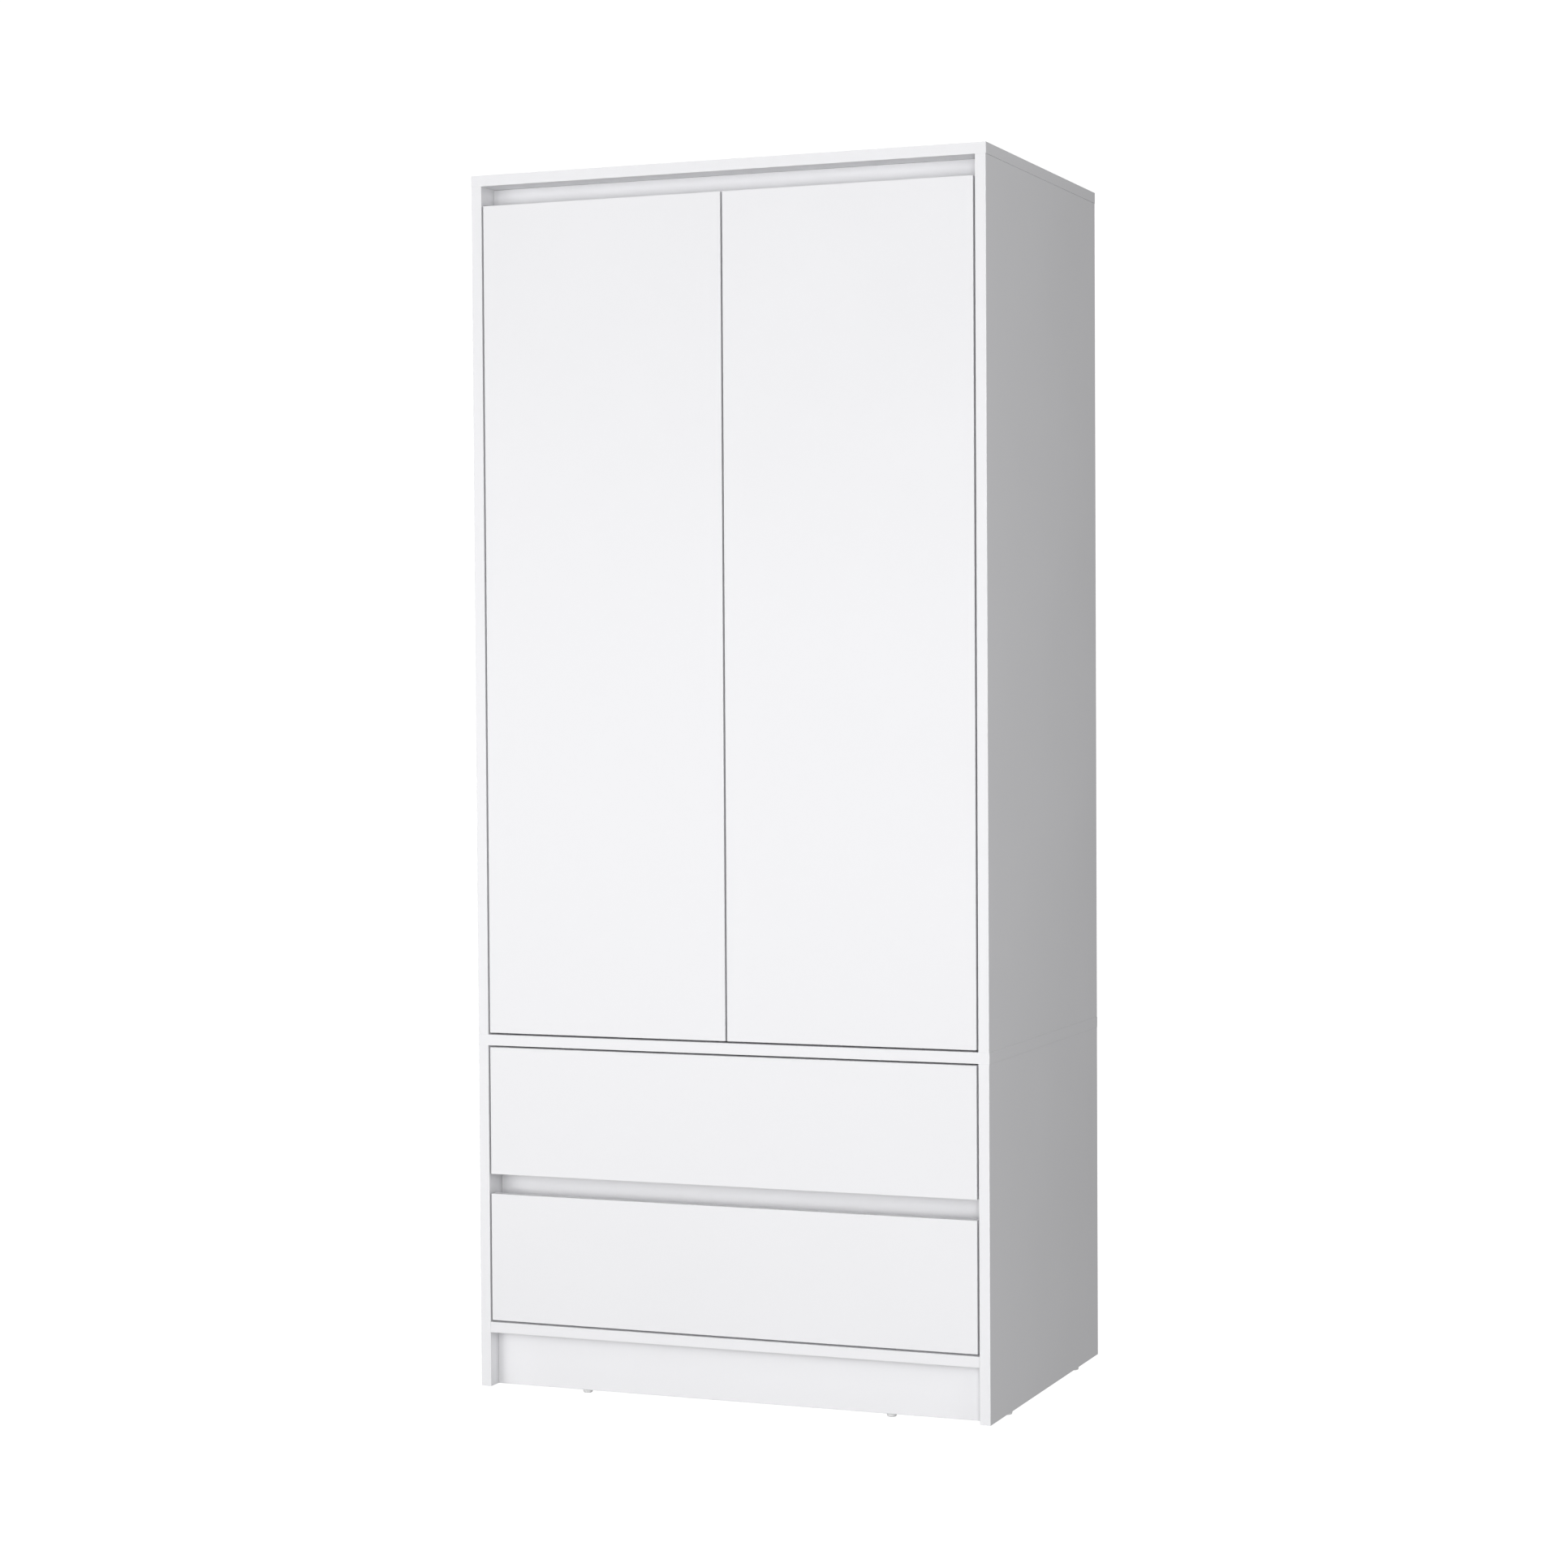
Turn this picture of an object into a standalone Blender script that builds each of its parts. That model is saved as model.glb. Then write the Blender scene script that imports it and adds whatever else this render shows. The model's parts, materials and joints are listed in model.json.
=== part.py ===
"""Wardrobe with two inset doors over two drawers, in white melamine board.

Metres, +Z up. The origin is the centre of the footprint, on the floor; the doors face -Y.
Every level is stacked up from the floor out of the driving dimensions below.
Pieces that touch are drawn 0.3 mm apart (FIT).
"""

import math

import bmesh
import bpy
from mathutils import Matrix, Vector

# Overall
WIDTH = 0.8000          # over the banded ends of the top and middle panels
DEPTH = 0.5400          # over the side panels
BOARD = 0.0160          # carcass, door and drawer-front board
BAND = 0.00045          # the top and middle panels' end banding stands out past the sides
FIT = 0.0003
REVEAL = 0.0028         # gap round the doors and drawer fronts
FINGER = 0.0293         # finger gap above the doors and between the drawers
EDGE = 0.0006           # radius on the boards' free edges
CUT_PAST = 0.0020       # how far a cutter runs past the face it opens

# Heights, floor upwards
GLIDE_HEIGHT = 0.0050
KICK_HEIGHT = 0.0809
DRAWER_FRONT_HEIGHT = 0.1896
DOOR_HEIGHT = 1.2249

# Carcass
KICK_SETBACK = 0.0255
RAIL_SETBACK = 0.0420   # finger space behind the fronts
TOP_RAIL_HEIGHT = 0.0700
DRAWER_RAIL_HEIGHT = 0.0600
DRAWER_RAIL_DROP = 0.0055       # the rail's middle, below the finger gap's
BACK_THICKNESS = 0.0030
REBATE_WIDTH = 0.0080   # let into the sides and top, to take the back panels' edges
REBATE_DEPTH = 0.0040
BACK_PLAY = 0.0010      # back panel's edge to the rebate's shoulder
SHELF_CLEAR = 0.2700    # hat shelf to top panel
SHELF_SETBACK = 0.0600
GLIDE_RADIUS = 0.0074
GLIDE_FOOT_RADIUS = 0.0070
GLIDE_RIM = 0.0022
GLIDE_SIDE_SETBACKS = (0.1030, 0.4360)
GLIDE_KICK_X = 0.2400

# Hanging rail: an oval tube in two screwed sockets
RAIL_TALL = 0.0300
RAIL_WIDE = 0.0150
RAIL_WALL = 0.0010
RAIL_DROP = 0.0600      # shelf underside to the rail's centre
RAIL_Y = 0.0150
SOCKET_PLATE = (0.0260, 0.0580, 0.0020)
SOCKET_WALL = 0.0028
SOCKET_DEPTH = 0.0130

# Hinges: a cup in the door and an arm on a plate on the side panel, joined by one pin
CUP_RADIUS = 0.0175
CUP_WALL = 0.0008
CUP_FROM_EDGE = 0.0030
CUP_FLOOR = 0.0026      # outside of the cup's floor, behind the door's front face
EAR_HALF_WIDTH = 0.0065
EAR_HALF_HEIGHT = 0.0265
EAR_SHEET = 0.0012
PIN_FROM_SIDE = 0.0095
PIN_BEHIND_FRONT = 0.0055
PIN_RADIUS = 0.0008
PIN_HALF_LENGTH = 0.0095
EYE_RADIUS = 0.0018
EYE_BORE = 0.0011
HOOK_HALF_HEIGHT = 0.0040
ARM_SHEET = 0.0020
ARM_FACE = 0.0230       # underside of the arm's web, from the side panel
ARM_SPAN = (0.0180, 0.0860)
ARM_HALF_HEIGHT = 0.0090
ARM_FLANGE = 0.0013
FLANGE_FROM_SIDE = 0.0080
FLANGE_START = 0.0300   # behind the front, as are the spans
FLANGE_INSET = 0.0005
BLOCK_SPAN = (0.0320, 0.0840)
WING_SPAN = (0.0440, 0.0600)
WING_HALF_HEIGHT = 0.0240
WING_SHEET = 0.0025
HINGE_END_DISTANCE = 0.1000

# Drawer boxes
BOX_BOARD = 0.0120
BOX_HEIGHT = 0.1500
BOX_DEPTH = 0.4500
BOX_RISE = 0.0090       # box bottom above the bottom of the lower drawer front
UPPER_BOX_RISE = 0.0173
BOTTOM_THICKNESS = 0.0030
BOTTOM_RISE = 0.0080
GROOVE_DEPTH = 0.0060
GROOVE_HEIGHT = 0.0036

# Drawer slides
SLIDE_WIDTH = 0.0127    # box side to carcass side
SLIDE_SHEET = 0.0012
SLIDE_HALF_HEIGHT = 0.0175
SLIDE_LIP = 0.0035
CHANNEL_CLEAR = 0.0014  # channel's lips to the box side
RUNNER_HALF_HEIGHT = 0.0115
RUNNER_DEPTH = 0.0075
SLIDE_RISE = 0.0420     # slide centre above the box bottom
SLIDE_LENGTH = 0.4400
SLIDE_START = 0.0050    # behind the drawer front

# Places worked out from the above
HALF_SIDE = WIDTH / 2 - BAND
INNER = HALF_SIDE - BOARD
FRONT = -DEPTH / 2
REAR = DEPTH / 2
SHOULDER = REAR - REBATE_DEPTH  # the rebates' floor, and the inner panels' rear edges
Z_SIDE = GLIDE_HEIGHT
Z_BOTTOM = Z_SIDE + KICK_HEIGHT
Z_DRAWER_LOW = Z_BOTTOM + BOARD + REVEAL
Z_DRAWER_UP = Z_DRAWER_LOW + DRAWER_FRONT_HEIGHT + FINGER
Z_MID = Z_DRAWER_UP + DRAWER_FRONT_HEIGHT + REVEAL
Z_DOOR = Z_MID + BOARD + REVEAL
Z_TOP = Z_DOOR + DOOR_HEIGHT + FINGER
Z_SHELF = Z_TOP - SHELF_CLEAR - BOARD
DOOR_WIDTH = INNER - 1.5 * REVEAL

FINISHES = {
    "front_melamine": ((0.90, 0.90, 0.92), 0.42, 0.0),
    "carcass_melamine": ((0.88, 0.88, 0.90), 0.45, 0.0),
    "drawer_board": ((0.86, 0.86, 0.87), 0.50, 0.0),
    "hardboard_white": ((0.84, 0.84, 0.85), 0.60, 0.0),
    "zinc_steel": ((0.62, 0.62, 0.63), 0.32, 1.0),
    "chrome_tube": ((0.75, 0.75, 0.76), 0.15, 1.0),
    "white_plastic": ((0.85, 0.85, 0.85), 0.40, 0.0),
}


def clear_scene():
    for obj in list(bpy.data.objects):
        bpy.data.objects.remove(obj)


def finish(name):
    """The named Principled material, made once."""
    found = bpy.data.materials.get(name)
    if found:
        return found
    colour, roughness, metallic = FINISHES[name]
    made = bpy.data.materials.new(name)
    made.use_nodes = True
    shader = made.node_tree.nodes["Principled BSDF"]
    shader.inputs["Base Color"].default_value = (*colour, 1.0)
    shader.inputs["Roughness"].default_value = roughness
    shader.inputs["Metallic"].default_value = metallic
    return made


def axis_empty(name, place):
    """An empty on a joint's axis, to carry the pieces that move with it."""
    empty = bpy.data.objects.new(name, None)
    empty.location = place
    bpy.context.scene.collection.objects.link(empty)
    return empty


def place_piece(name, mesh, finish_name, place=(0.0, 0.0, 0.0), carrier=None):
    """One node: the mesh at this place in the world, carried by the empty if one is given."""
    piece = bpy.data.objects.new(name, mesh)
    bpy.context.scene.collection.objects.link(piece)
    if not mesh.materials:
        mesh.materials.append(finish(finish_name))
    piece.parent = carrier
    piece.location = Vector(place) - (carrier.location if carrier else Vector())
    return piece


def mesh_from(shape, name, smooth=False):
    mesh = bpy.data.meshes.new(name)
    bmesh.ops.recalc_face_normals(shape, faces=shape.faces)
    shape.to_mesh(mesh)
    shape.free()
    if smooth:
        mesh.shade_smooth()
        mesh.set_sharp_from_angle(angle=math.radians(35))
    return mesh


def box_mesh(name, size, radius=0.0, butted=""):
    """A box about the origin with rounded edges, apart from those of faces across the butted axes."""
    shape = bmesh.new()
    bmesh.ops.create_cube(shape, size=1.0)
    bmesh.ops.scale(shape, vec=size, verts=shape.verts)
    shape.normal_update()
    if radius:
        across = [Vector([letter == axis for letter in "XYZ"]) for axis in butted]
        edges = [edge for edge in shape.edges
                 if not any(abs(face.normal.dot(axis)) > 0.5 for face in edge.link_faces for axis in across)]
        bmesh.ops.bevel(shape, geom=edges, offset=radius, segments=2, profile=0.5, affect="EDGES")
    return mesh_from(shape, name)


def box_between(name, low, high, radius=0.0, butted=""):
    low = Vector(low)
    high = Vector(high)
    mesh = box_mesh(name, high - low, radius, butted)
    mesh.transform(Matrix.Translation((low + high) / 2))
    return mesh


def board(name, low, high, finish_name, carrier=None, radius=EDGE, butted=""):
    """A board between two opposite corners. It stays square-edged where it butts against another board."""
    low = Vector(low)
    high = Vector(high)
    mesh = box_mesh(name, high - low, radius, butted)
    return place_piece(name, mesh, finish_name, (low + high) / 2, carrier)


def prism_mesh(name, outline, start, end, axis, smooth=False):
    """An outline of (a, b) points extruded along axis X, Y or Z; a and b are the other two axes in order."""
    shape = bmesh.new()
    corners = {
        "X": [Vector((start, a, b)) for a, b in outline],
        "Y": [Vector((a, start, b)) for a, b in outline],
        "Z": [Vector((a, b, start)) for a, b in outline],
    }[axis]
    face = shape.faces.new([shape.verts.new(corner) for corner in corners])
    made = bmesh.ops.extrude_face_region(shape, geom=[face])
    moved = [item for item in made["geom"] if isinstance(item, bmesh.types.BMVert)]
    along = {"X": Vector((1, 0, 0)), "Y": Vector((0, 1, 0)), "Z": Vector((0, 0, 1))}[axis]
    bmesh.ops.translate(shape, verts=moved, vec=along * (end - start))
    return mesh_from(shape, name, smooth)


def rod_mesh(name, radius, start, end, centre, axis, steps=32):
    """A round bar along Y or Z, centred on the two other coordinates."""
    outline = [
        (centre[0] + radius * math.cos(2 * math.pi * i / steps),
         centre[1] + radius * math.sin(2 * math.pi * i / steps))
        for i in range(steps)
    ]
    return prism_mesh(name, outline, start, end, axis, smooth=True)


def oval_outline(wide, tall, steps=12):
    """An upright oval: two half circles joined by straight sides, as (y, z) points."""
    radius = wide / 2
    rise = tall / 2 - radius
    upper = [(radius * math.cos(math.pi * i / steps), rise + radius * math.sin(math.pi * i / steps))
             for i in range(steps + 1)]
    return upper + [(-y, -z) for y, z in upper]


def built(name, first, *steps, mirrored=False):
    """Joins ("UNION") or cuts ("DIFFERENCE") each further mesh to or from the first, into one mesh."""
    base = bpy.data.objects.new(name, first)
    bpy.context.scene.collection.objects.link(base)
    helpers = []
    for operation, mesh in steps:
        helper = bpy.data.objects.new(name + "_step", mesh)
        helper.hide_render = True
        bpy.context.scene.collection.objects.link(helper)
        modifier = base.modifiers.new("step", "BOOLEAN")
        modifier.operation = operation
        modifier.object = helper
        helpers.append(helper)
    graph = bpy.context.evaluated_depsgraph_get()
    mesh = bpy.data.meshes.new_from_object(base.evaluated_get(graph))
    for obj in [base, *helpers]:
        bpy.data.objects.remove(obj)
    if mirrored:
        mesh.transform(Matrix.Scale(-1, 4, (1, 0, 0)))
        mesh.flip_normals()
    mesh.shade_smooth()
    mesh.set_sharp_from_angle(angle=math.radians(35))
    return mesh


def rebated_board(name, low, high, butted):
    """A carcass board with the space for the back panels cut out of its rear edge."""
    reach = INNER + REBATE_WIDTH
    space = box_between("back_space", (-reach, SHOULDER, -CUT_PAST),
                        (reach, REAR + CUT_PAST, Z_TOP + REBATE_WIDTH))
    mesh = built(name, box_between("slab", low, high, EDGE, butted), ("DIFFERENCE", space))
    place_piece(name, mesh, "carcass_melamine")


def side_panels():
    """Each side is two boards, with the full-width middle panel clamped between them."""
    levels = {"lower": (Z_SIDE, Z_MID - FIT), "upper": (Z_MID + BOARD + FIT, Z_TOP - FIT)}
    for part, (low, high) in levels.items():
        for side, x in (("left", -HALF_SIDE), ("right", INNER)):
            rebated_board(f"side_panel_{side}_{part}", (x, FRONT, low), (x + BOARD, REAR, high), "Z")


def cross_panels():
    wide = WIDTH / 2
    within = INNER - FIT
    rebated_board("top_panel", (-wide, FRONT, Z_TOP), (wide, REAR, Z_TOP + BOARD), "Z")
    rebated_board("mid_panel", (-wide, FRONT, Z_MID), (wide, REAR, Z_MID + BOARD), "Z")
    for name, front, z in (("bottom_panel", FRONT, Z_BOTTOM),
                           ("hat_shelf", FRONT + SHELF_SETBACK, Z_SHELF)):
        board(name, (-within, front, z), (within, SHOULDER, z + BOARD), "carcass_melamine",
              butted="X")


def upright_rail(name, setback, low, high):
    """A board on edge between the sides, set back from the front."""
    front = FRONT + setback
    board(name, (-INNER + FIT, front, low), (INNER - FIT, front + BOARD, high), "carcass_melamine",
          butted="X")


def front_rails():
    upright_rail("kick_board", KICK_SETBACK, Z_SIDE, Z_BOTTOM - FIT)
    upright_rail("top_rail", RAIL_SETBACK, Z_TOP - FIT - TOP_RAIL_HEIGHT, Z_TOP - FIT)
    middle = Z_DRAWER_UP - FINGER / 2 - DRAWER_RAIL_DROP
    upright_rail("drawer_rail", RAIL_SETBACK, middle - DRAWER_RAIL_HEIGHT / 2,
                 middle + DRAWER_RAIL_HEIGHT / 2)


def back_panels():
    """Two hardboard sheets nailed into the rebates, meeting behind the middle panel."""
    half = INNER + REBATE_WIDTH - BACK_PLAY
    front = SHOULDER + FIT
    meeting = Z_MID + BOARD / 2
    spans = {"lower": (Z_BOTTOM + BACK_PLAY, meeting - FIT),
             "upper": (meeting + FIT, Z_TOP + REBATE_WIDTH - BACK_PLAY)}
    for part, (low, high) in spans.items():
        board(f"back_panel_{part}", (-half, front, low), (half, front + BACK_THICKNESS, high),
              "hardboard_white", radius=0.0)


def glide_mesh():
    """A nail-on plastic foot: a low tapered disc with a rounded rim."""
    top = GLIDE_HEIGHT - FIT
    profile = [(0.0, top), (GLIDE_RADIUS, top), (GLIDE_FOOT_RADIUS, GLIDE_RIM)]
    profile += [(GLIDE_FOOT_RADIUS - GLIDE_RIM * (1 - math.cos(a)), GLIDE_RIM * (1 - math.sin(a)))
                for a in (math.pi / 8, math.pi / 4, 3 * math.pi / 8, math.pi / 2)]
    profile.append((0.0, 0.0))
    shape = bmesh.new()
    points = [shape.verts.new((x, 0.0, z)) for x, z in profile]
    edges = [shape.edges.new(pair) for pair in zip(points, points[1:])]
    bmesh.ops.spin(shape, geom=points + edges, cent=(0, 0, 0), axis=(0, 0, 1), angle=2 * math.pi,
                   steps=32, use_merge=True)
    bmesh.ops.remove_doubles(shape, verts=shape.verts, dist=1e-6)
    return mesh_from(shape, "glide", smooth=True)


def glides():
    mesh = glide_mesh()
    middle = HALF_SIDE - BOARD / 2
    places = {}
    for side, sign in (("left", -1), ("right", 1)):
        for end, setback in zip(("front", "rear"), GLIDE_SIDE_SETBACKS):
            places[f"glide_{side}_{end}"] = (sign * middle, FRONT + setback, 0.0)
        places[f"glide_kick_{side}"] = (sign * GLIDE_KICK_X, FRONT + KICK_SETBACK + BOARD / 2, 0.0)
    for name, place in places.items():
        place_piece(name, mesh, "white_plastic", place)


def socket_mesh(mirrored):
    """A screwed plate with an oval collar that holds the end of the hanging rail."""
    wide, tall, plate = SOCKET_PLATE
    collar = oval_outline(RAIL_WIDE + 2 * SOCKET_WALL, RAIL_TALL + 2 * SOCKET_WALL)
    hole = oval_outline(RAIL_WIDE + 2 * FIT, RAIL_TALL + 2 * FIT)
    return built(
        "rail_socket",
        prism_mesh("plate", oval_outline(wide, tall), FIT, plate, "X"),
        ("UNION", prism_mesh("collar", collar, plate / 2, SOCKET_DEPTH, "X")),
        ("DIFFERENCE", prism_mesh("hole", hole, plate, SOCKET_DEPTH + CUT_PAST, "X")),
        mirrored=mirrored,
    )


def hanging_rail():
    """The oval clothes rail and its two sockets, under the hat shelf."""
    z = Z_SHELF - RAIL_DROP
    end = INNER - SOCKET_PLATE[2] - FIT
    tube = built(
        "hanging_rail",
        prism_mesh("outside", oval_outline(RAIL_WIDE, RAIL_TALL), -end, end, "X"),
        ("DIFFERENCE", prism_mesh("inside",
                                  oval_outline(RAIL_WIDE - 2 * RAIL_WALL, RAIL_TALL - 2 * RAIL_WALL),
                                  -end - CUT_PAST, end + CUT_PAST, "X")),
    )
    place_piece("hanging_rail", tube, "chrome_tube", (0.0, RAIL_Y, z))
    for side, sign in (("left", -1), ("right", 1)):
        place_piece(f"rail_socket_{side}", socket_mesh(sign > 0), "zinc_steel",
                    (sign * INNER, RAIL_Y, z))


def cup_mesh(mirrored):
    """The door's half of a hinge, about the pin: x from the side panel, y behind the front face."""
    centre = REVEAL + CUP_FROM_EDGE + CUP_RADIUS - PIN_FROM_SIDE
    floor = CUP_FLOOR - PIN_BEHIND_FRONT
    back = BOARD - PIN_BEHIND_FRONT
    flange = back + FIT + EAR_SHEET
    return built(
        "hinge_cup",
        rod_mesh("can", CUP_RADIUS, floor, flange, (centre, 0.0), "Y", 48),
        ("UNION", box_between("ears", (centre - EAR_HALF_WIDTH, back + FIT, -EAR_HALF_HEIGHT),
                              (centre + EAR_HALF_WIDTH, flange, EAR_HALF_HEIGHT))),
        ("DIFFERENCE", rod_mesh("hollow", CUP_RADIUS - CUP_WALL, floor + CUP_WALL, flange + CUT_PAST,
                                (centre, 0.0), "Y", 48)),
        ("UNION", rod_mesh("pin", PIN_RADIUS, -PIN_HALF_LENGTH, PIN_HALF_LENGTH, (0.0, 0.0), "Z", 12)),
        mirrored=mirrored,
    )


def arm_mesh(mirrored):
    """The arm, about the pin: an eye, a hook out of the cup, and a channel back over the plate."""
    face = ARM_FACE - PIN_FROM_SIDE
    top = face + ARM_SHEET
    start, end = (y - PIN_BEHIND_FRONT for y in ARM_SPAN)
    flange_low = FLANGE_FROM_SIDE - PIN_FROM_SIDE
    flange_start = FLANGE_START - PIN_BEHIND_FRONT
    low = -EYE_RADIUS
    high = low + ARM_SHEET
    hook = HOOK_HALF_HEIGHT
    tall = ARM_HALF_HEIGHT
    steps = [
        ("UNION", box_between("leg", (0.0, low, -hook), (top, high, hook))),
        ("UNION", box_between("riser", (face, low, -hook), (top, start + ARM_SHEET, hook))),
        ("UNION", box_between("web", (face, start, -tall), (top, end, tall))),
    ]
    for z in (-tall, tall - ARM_FLANGE):
        steps.append(("UNION", box_between("flange", (flange_low, flange_start, z),
                                           (top - FLANGE_INSET, end - FLANGE_INSET, z + ARM_FLANGE))))
    bore = hook + CUT_PAST
    steps.append(("DIFFERENCE", rod_mesh("bore", EYE_BORE, -bore, bore, (0.0, 0.0), "Z", 16)))
    return built("hinge_arm", rod_mesh("eye", EYE_RADIUS, -hook, hook, (0.0, 0.0), "Z", 16), *steps,
                 mirrored=mirrored)


def plate_mesh(mirrored):
    """The mounting plate, about the pin: a block inside the arm's channel, and two screwed wings."""
    side = FIT - PIN_FROM_SIDE
    top = ARM_FACE - FIT - PIN_FROM_SIDE
    half = ARM_HALF_HEIGHT - ARM_FLANGE - FIT
    start, end = (y - PIN_BEHIND_FRONT for y in BLOCK_SPAN)
    block = box_between("block", (side, start, -half), (top, end, half))
    start, end = (y - PIN_BEHIND_FRONT for y in WING_SPAN)
    wings = box_between("wings", (side, start, -WING_HALF_HEIGHT),
                        (side + WING_SHEET, end, WING_HALF_HEIGHT))
    return built("hinge_plate", block, ("UNION", wings), mirrored=mirrored)


def hinge_levels():
    low = Z_DOOR + HINGE_END_DISTANCE
    high = Z_DOOR + DOOR_HEIGHT - HINGE_END_DISTANCE
    return {"low": low, "mid": (low + high) / 2, "high": high}


def door_mesh(name, side_sign, pin_x):
    """A door about its joint axis, with a blind round pocket for each hinge cup."""
    near = side_sign * (INNER - REVEAL) - pin_x
    far = near - side_sign * DOOR_WIDTH
    centre_x = near - side_sign * (CUP_FROM_EDGE + CUP_RADIUS)
    front = -PIN_BEHIND_FRONT
    size = (DOOR_WIDTH, BOARD, DOOR_HEIGHT)
    slab = box_mesh("slab", size, EDGE)
    slab.transform(Matrix.Translation(((near + far) / 2, front + BOARD / 2, 0.0)))
    pockets = [
        ("DIFFERENCE", rod_mesh("pocket", CUP_RADIUS + FIT, front + CUP_FLOOR - FIT,
                                front + BOARD + CUT_PAST,
                                (centre_x, z - Z_DOOR - DOOR_HEIGHT / 2), "Y", 48))
        for z in hinge_levels().values()
    ]
    return built(name, slab, *pockets)


def doors():
    """Each door with its cups turns about the pins of its three hinges."""
    for side, sign in (("left", -1), ("right", 1)):
        pin_x = sign * (INNER - PIN_FROM_SIDE)
        pin_y = FRONT + PIN_BEHIND_FRONT
        axis = axis_empty(f"door_{side}_axis", (pin_x, pin_y, Z_DOOR + DOOR_HEIGHT / 2))
        place_piece(f"door_{side}", door_mesh(f"door_{side}", sign, pin_x), "front_melamine",
                    axis.location, axis)
        cup = cup_mesh(sign > 0)
        arm = arm_mesh(sign > 0)
        plate = plate_mesh(sign > 0)
        for level, z in hinge_levels().items():
            place = (pin_x, pin_y, z)
            place_piece(f"hinge_cup_{side}_{level}", cup, "zinc_steel", place, axis)
            place_piece(f"hinge_arm_{side}_{level}", arm, "zinc_steel", place)
            place_piece(f"hinge_plate_{side}_{level}", plate, "zinc_steel", place)


def drawer_front(name, z, groove_z, carrier):
    """The front board, with a stopped groove that takes the drawer bottom's front edge."""
    half = INNER - REVEAL
    slab = box_mesh("slab", (2 * half, BOARD, DRAWER_FRONT_HEIGHT), EDGE)
    centre = Vector((0.0, FRONT + BOARD / 2, z + DRAWER_FRONT_HEIGHT / 2))
    slab.transform(Matrix.Translation(centre))
    groove_half = INNER - SLIDE_WIDTH - BOX_BOARD + GROOVE_DEPTH
    groove = box_between("groove", (-groove_half, FRONT + BOARD - GROOVE_DEPTH, groove_z),
                         (groove_half, FRONT + BOARD + CUT_PAST, groove_z + GROOVE_HEIGHT))
    mesh = built(name, slab, ("DIFFERENCE", groove))
    mesh.transform(Matrix.Translation(-carrier.location))
    place_piece(name, mesh, "front_melamine", carrier.location, carrier)


def drawer_side(name, sign, start, end, z, groove_z, carrier):
    """A side board with a groove along its inner face for the drawer bottom."""
    outer = sign * (INNER - SLIDE_WIDTH)
    inner = outer - sign * BOX_BOARD
    deep = inner + sign * GROOVE_DEPTH
    outline = [(outer, z), (inner, z), (inner, groove_z), (deep, groove_z),
               (deep, groove_z + GROOVE_HEIGHT), (inner, groove_z + GROOVE_HEIGHT),
               (inner, z + BOX_HEIGHT), (outer, z + BOX_HEIGHT)]
    mesh = prism_mesh(name, outline, start, end, "Y")
    mesh.transform(Matrix.Translation(-carrier.location))
    place_piece(name, mesh, "drawer_board", carrier.location, carrier)


def drawer_box(label, front_z, box_z, carrier):
    start = FRONT + BOARD + FIT
    end = start + BOX_DEPTH
    groove_z = box_z + BOTTOM_RISE
    inner = INNER - SLIDE_WIDTH - BOX_BOARD
    play = (GROOVE_HEIGHT - BOTTOM_THICKNESS) / 2
    bottom_top = groove_z + play + BOTTOM_THICKNESS
    drawer_front(f"drawer_{label}_front", front_z, groove_z, carrier)
    for side, sign in (("left", -1), ("right", 1)):
        drawer_side(f"drawer_{label}_side_{side}", sign, start, end, box_z, groove_z, carrier)
    board(f"drawer_{label}_back", (-inner + FIT, end - BOX_BOARD, bottom_top + FIT),
          (inner - FIT, end, box_z + BOX_HEIGHT), "drawer_board", carrier, radius=0.0)
    reach = inner + GROOVE_DEPTH - FIT
    board(f"drawer_{label}_bottom", (-reach, start - GROOVE_DEPTH, groove_z + play),
          (reach, end, bottom_top), "hardboard_white", carrier, radius=0.0)


def slide_outlines(sign, z):
    """The carcass channel and, inside it, the drawer's runner, as (x, z) outlines."""
    wall = INNER - FIT
    sheet = SLIDE_SHEET
    tall = SLIDE_HALF_HEIGHT
    mouth = INNER - SLIDE_WIDTH + CHANNEL_CLEAR
    channel = [(wall, -tall), (mouth, -tall), (mouth, -tall + SLIDE_LIP),
               (mouth + sheet, -tall + SLIDE_LIP), (mouth + sheet, -tall + sheet),
               (wall - sheet, -tall + sheet)]
    web = INNER - SLIDE_WIDTH + FIT
    low = RUNNER_HALF_HEIGHT
    reach = web + RUNNER_DEPTH
    runner = [(web, -low), (reach, -low), (reach, -low + sheet), (web + sheet, -low + sheet)]
    outlines = []
    for half in (channel, runner):
        whole = half + [(x, -dz) for x, dz in reversed(half)]
        outlines.append([(sign * x, z + dz) for x, dz in whole])
    return outlines


def drawer_slides(label, box_z, carrier):
    start = FRONT + BOARD + SLIDE_START
    end = start + SLIDE_LENGTH
    for side, sign in (("left", -1), ("right", 1)):
        channel, runner = slide_outlines(sign, box_z + SLIDE_RISE)
        name = f"slide_channel_{label}_{side}"
        place_piece(name, prism_mesh(name, channel, start, end, "Y"), "zinc_steel")
        name = f"slide_runner_{label}_{side}"
        mesh = prism_mesh(name, runner, start, end, "Y")
        mesh.transform(Matrix.Translation(-carrier.location))
        place_piece(name, mesh, "zinc_steel", carrier.location, carrier)


def drawers():
    """Each drawer box with its runners slides out along -Y."""
    for label, front_z, rise in (("lower", Z_DRAWER_LOW, BOX_RISE),
                                 ("upper", Z_DRAWER_UP, UPPER_BOX_RISE)):
        box_z = front_z + rise
        carrier = axis_empty(f"drawer_{label}_axis", (0.0, FRONT, box_z + SLIDE_RISE))
        drawer_box(label, front_z, box_z, carrier)
        drawer_slides(label, box_z, carrier)


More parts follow.
